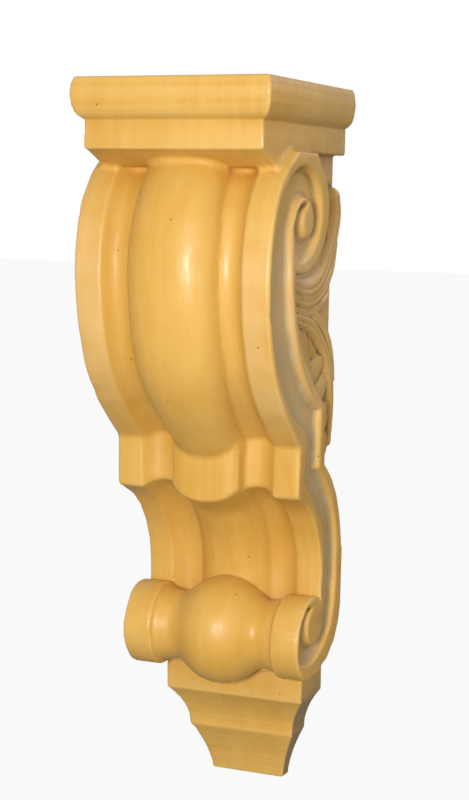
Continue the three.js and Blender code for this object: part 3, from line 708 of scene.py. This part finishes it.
def resin():
    material = bpy.data.materials.new("cast resin")
    material.use_nodes = True
    nodes, links = material.node_tree.nodes, material.node_tree.links
    shader = nodes["Principled BSDF"]

    def node(kind, **settings):
        made = nodes.new(kind)
        for key, value in settings.items():
            setattr(made, key, value)
        return made

    def attribute(name):
        return node("ShaderNodeAttribute", attribute_name=name).outputs["Fac"]

    def feed(socket, value):
        """Puts a number or a colour on a socket, or links an output to it."""
        if isinstance(value, (int, float, tuple)):
            socket.default_value = value
        else:
            links.new(value, socket)

    def ranged(source, from_low, from_high, to_low=0.0, to_high=1.0):
        made = node("ShaderNodeMapRange")
        limits = {"From Min": from_low, "From Max": from_high, "To Min": to_low, "To Max": to_high}
        for key, value in limits.items():
            feed(made.inputs[key], value)
        feed(made.inputs["Value"], source)
        return made.outputs["Result"]

    def maths(operation, first, second):
        made = node("ShaderNodeMath", operation=operation)
        feed(made.inputs[0], first)
        feed(made.inputs[1], second)
        return made.outputs[0]

    def product(first, second):
        return maths("MULTIPLY", first, second)

    def total(first, second):
        return maths("ADD", first, second)

    def blended(share, first, second):
        made = node("ShaderNodeMix", data_type="RGBA")
        feed(made.inputs["Factor"], share)
        feed(made.inputs[6], first)
        feed(made.inputs[7], second)
        return made.outputs[2]

    place = node("ShaderNodeTexCoord").outputs["Object"]

    def noise(scale, detail=4.0, stretch=(1, 1, 1)):
        mapping = node("ShaderNodeMapping")
        mapping.inputs["Scale"].default_value = stretch
        links.new(place, mapping.inputs["Vector"])
        made = node("ShaderNodeTexNoise")
        made.inputs["Scale"].default_value = scale
        made.inputs["Detail"].default_value = detail
        links.new(mapping.outputs["Vector"], made.inputs["Vector"])
        return made.outputs["Fac"]

    parts = node("ShaderNodeSeparateXYZ")
    links.new(place, parts.inputs[0])
    off_middle = maths("ABSOLUTE", parts.outputs["X"], 0)
    height = parts.outputs["Z"]
    crease = attribute("crease")
    side = attribute("side")

    # Body colour
    clouds = ranged(noise(22, 3), 0.35, 0.68)
    mottling = ranged(noise(120, 5), 0.3, 0.75)
    streaks = ranged(noise(60, 4, (4.0, 1.5, 0.35)), 0.4, 0.7)
    colour = blended(clouds, DEEP_YELLOW, LIGHT_YELLOW)
    colour = blended(product(mottling, MOTTLING_SHARE), colour, MOTTLED_YELLOW)
    colour = blended(product(streaks, STREAK_SHARE), colour, STREAK_YELLOW)

    # Painted shade in the hollows, dirt and painted shade in the creases, rubbed edges with a painted
    # highlight
    in_hollows = ranged(attribute("hollow"), 0.12, 0.9)
    # painted shade: hollows darkened towards brown by how enclosed they are
    colour = blended(product(in_hollows, HOLLOW_SHADE_SHARE), colour, HOLLOW_PAINTED_SHADE)
    # dirt and painted shade: creases darkened brown in patches, mostly on the flanks below the cap
    in_creases = ranged(crease, 0.14, 0.6)
    crease_patches = ranged(noise(70, 4), 0.3, 0.6, 0.35, 1)
    below_cap = ranged(height, 0.131, 0.125, 0.15, 1)
    crease_dirt_and_shade = product(in_creases, product(crease_patches, below_cap))
    on_flank = ranged(off_middle, 0.0325, 0.0345, 0.05, 0.9)
    colour = blended(product(crease_dirt_and_shade, on_flank), colour, CREASE_DIRT_AND_SHADE)
    # convex edges lightened for rubbed wear and as a painted highlight
    on_edges = ranged(crease, -0.3, -0.9)
    colour = blended(product(on_edges, RUBBED_EDGE_AND_SHEEN_SHARE), colour, RUBBED_EDGE_AND_SHEEN)

    # Sides darker and browner towards the bottom, and dust in the channels
    low_down = ranged(height, -0.106, -0.122)
    low_side_browning = product(side, product(low_down, LOW_SIDE_BROWN_SHARE))
    colour = blended(low_side_browning, colour, LOW_SIDE_BROWN)
    dust_patches = ranged(noise(75, 5), 0.32, 0.62, 0.25, 1)
    dust_height = ranged(height, 0.112, 0.088, 0.25, 1)
    dust = product(attribute("channel"), product(dust_patches, dust_height))
    colour = blended(product(dust, DUST_SHARE), colour, CHANNEL_DUST)

    # Painted highlight: a pale sheen painted in patches on the front bands
    on_bands = ranged(off_middle, 0.0315, 0.0335)
    band_height = product(ranged(height, 0.125, 0.085), ranged(height, 0.0, 0.04))
    sheen_patches = ranged(noise(28, 3), 0.3, 0.62)
    painted_sheen = product(on_bands, product(band_height, sheen_patches))
    colour = blended(product(painted_sheen, PAINTED_SHEEN_SHARE), colour, BAND_PAINTED_SHEEN)

    # Scuffs, most of them on the side of the cap, and pinholes
    scuffs = ranged(noise(110, 3, (5.0, 5.0, 0.7)), 0.62, 0.74)
    anywhere = ranged(noise(18, 2), 0.56, 0.7, 0, 0.3)
    cap_side = product(side, ranged(height, 0.12, 0.14, 0, 0.6))
    colour = blended(product(scuffs, total(anywhere, cap_side)), colour, SCUFF_CREAM)
    cells = node("ShaderNodeTexVoronoi")
    feed(cells.inputs["Scale"], PINHOLE_CELLS)
    feed(cells.inputs["Vector"], place)
    pinholes = ranged(cells.outputs["Distance"], 0.034, 0.026)
    colour = blended(product(pinholes, PINHOLE_SHARE), colour, PINHOLE_BROWN)
    feed(shader.inputs["Base Color"], colour)

    # Gloss and fine relief
    gloss = ranged(noise(260, 3, (1.6, 1.6, 0.3)), 0.32, 0.68, 0.32, 0.5)
    dull = total(product(dust, DULLNESS), product(in_hollows, DULLNESS))
    feed(shader.inputs["Roughness"], total(gloss, dull))
    shader.inputs["Specular IOR Level"].default_value = SPECULAR_LEVEL

    bump = node("ShaderNodeBump")
    bump.inputs["Strength"].default_value = BUMP_STRENGTH
    bump.inputs["Distance"].default_value = BUMP_DISTANCE
    relief = total(product(noise(900, 3), FINE_RELIEF), noise(140, 3))
    feed(bump.inputs["Height"], relief)
    feed(shader.inputs["Normal"], bump.outputs["Normal"])
    return material


# Stage: a small lamp by the camera, a broad weak one to the right and one behind, in a pale room

LAMPS = [
    {"name": "key", "place": (0.19, -0.98, 0.15), "size": 0.16, "power": 8.1},
    {"name": "fill", "place": (1.3, -0.5, 0.35), "size": 1.2, "power": 3.6},
    {"name": "back", "place": (0.9, 1.3, 1.0), "size": 1.0, "power": 5.0},
]
LAMPS_AIM = (0, -0.06, 0.02)
AMBIENT = 0.46
FLOOR_SHOWN = 0.94
FLOOR_COLOUR = (0.3, 0.3, 0.29, 1)
FLOOR_SIZE = 8.0
FLOOR_DROP = 0.12


def pale_floor():
    mesh = bpy.data.meshes.new("floor")
    z = low_corner.z - FLOOR_DROP
    corners = [(x * FLOOR_SIZE, y * FLOOR_SIZE, z) for x, y in ((-1, -1), (1, -1), (1, 1), (-1, 1))]
    mesh.from_pydata(corners, [], [(0, 1, 2, 3)])
    floor = bpy.data.objects.new("floor", mesh)
    bpy.context.collection.objects.link(floor)
    paint = bpy.data.materials.new("pale floor")
    paint.use_nodes = True
    nodes, links = paint.node_tree.nodes, paint.node_tree.links
    matt = nodes["Principled BSDF"]
    matt.inputs["Base Color"].default_value = FLOOR_COLOUR
    matt.inputs["Roughness"].default_value = 0.9
    shown = nodes.new("ShaderNodeEmission")
    ray = nodes.new("ShaderNodeLightPath")
    share = nodes.new("ShaderNodeMath")
    share.operation = "MULTIPLY"
    share.inputs[1].default_value = FLOOR_SHOWN
    mix = nodes.new("ShaderNodeMixShader")
    links.new(ray.outputs["Is Camera Ray"], share.inputs[0])
    links.new(share.outputs[0], mix.inputs["Fac"])
    links.new(matt.outputs["BSDF"], mix.inputs[1])
    links.new(shown.outputs["Emission"], mix.inputs[2])
    links.new(mix.outputs["Shader"], nodes["Material Output"].inputs["Surface"])
    mesh.materials.append(paint)


def soft_light(name, place, size, power):
    light = bpy.data.lights.new(name, "AREA")
    light.size = size
    light.energy = power
    lamp = bpy.data.objects.new(name, light)
    lamp.location = place
    lamp.rotation_euler = (Vector(LAMPS_AIM) - Vector(place)).to_track_quat("-Z", "Y").to_euler()
    bpy.context.collection.objects.link(lamp)


def studio():
    world = bpy.data.worlds.new("studio")
    world.use_nodes = True
    nodes, links = world.node_tree.nodes, world.node_tree.links
    glow = nodes["Background"]
    glow.inputs["Strength"].default_value = AMBIENT
    seen = nodes.new("ShaderNodeBackground")
    seen.inputs["Strength"].default_value = 1.0
    for background in (glow, seen):
        background.inputs["Color"].default_value = (1, 1, 1, 1)
    ray = nodes.new("ShaderNodeLightPath")
    mix = nodes.new("ShaderNodeMixShader")
    links.new(ray.outputs["Is Camera Ray"], mix.inputs["Fac"])
    links.new(glow.outputs["Background"], mix.inputs[1])
    links.new(seen.outputs["Background"], mix.inputs[2])
    links.new(mix.outputs["Shader"], nodes["World Output"].inputs["Surface"])
    bpy.context.scene.world = world
    for lamp in LAMPS:
        soft_light(**lamp)
    bpy.context.scene.view_settings.view_transform = "Standard"


# Camera where the photograph was taken from

CAMERA_PLACE = Vector((0.2915, -0.7551, 0.1169))
CAMERA_YAW = radians(21.95)
CAMERA_DOWN = radians(6.96)
CAMERA_ROLL = radians(0.85)
CAMERA_LENS = 76.14
CAMERA_SENSOR = 36
CAMERA_NEAR = 0.01


def camera():
    right = Vector((cos(CAMERA_YAW), sin(CAMERA_YAW), 0))
    level = Vector((-sin(CAMERA_YAW), cos(CAMERA_YAW), 0))
    forward = level * cos(CAMERA_DOWN) - Vector((0, 0, 1)) * sin(CAMERA_DOWN)
    up = Vector((0, 0, 1)) * cos(CAMERA_DOWN) + level * sin(CAMERA_DOWN)
    rolled_right = right * cos(CAMERA_ROLL) + up * sin(CAMERA_ROLL)
    rolled_up = up * cos(CAMERA_ROLL) - right * sin(CAMERA_ROLL)
    data = bpy.data.cameras.new("camera")
    data.lens = CAMERA_LENS
    data.sensor_width = CAMERA_SENSOR
    data.clip_start = CAMERA_NEAR
    turn = Matrix((rolled_right, rolled_up, -forward)).transposed()
    view = bpy.data.objects.new("camera", data)
    view.matrix_world = Matrix.Translation(CAMERA_PLACE) @ turn.to_4x4()
    bpy.context.collection.objects.link(view)
    bpy.context.scene.camera = view


camera()
studio()
pale_floor()

piece = casting()
piece.data.materials.clear()
piece.data.materials.append(resin())
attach(piece, "root")
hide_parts("corbel")
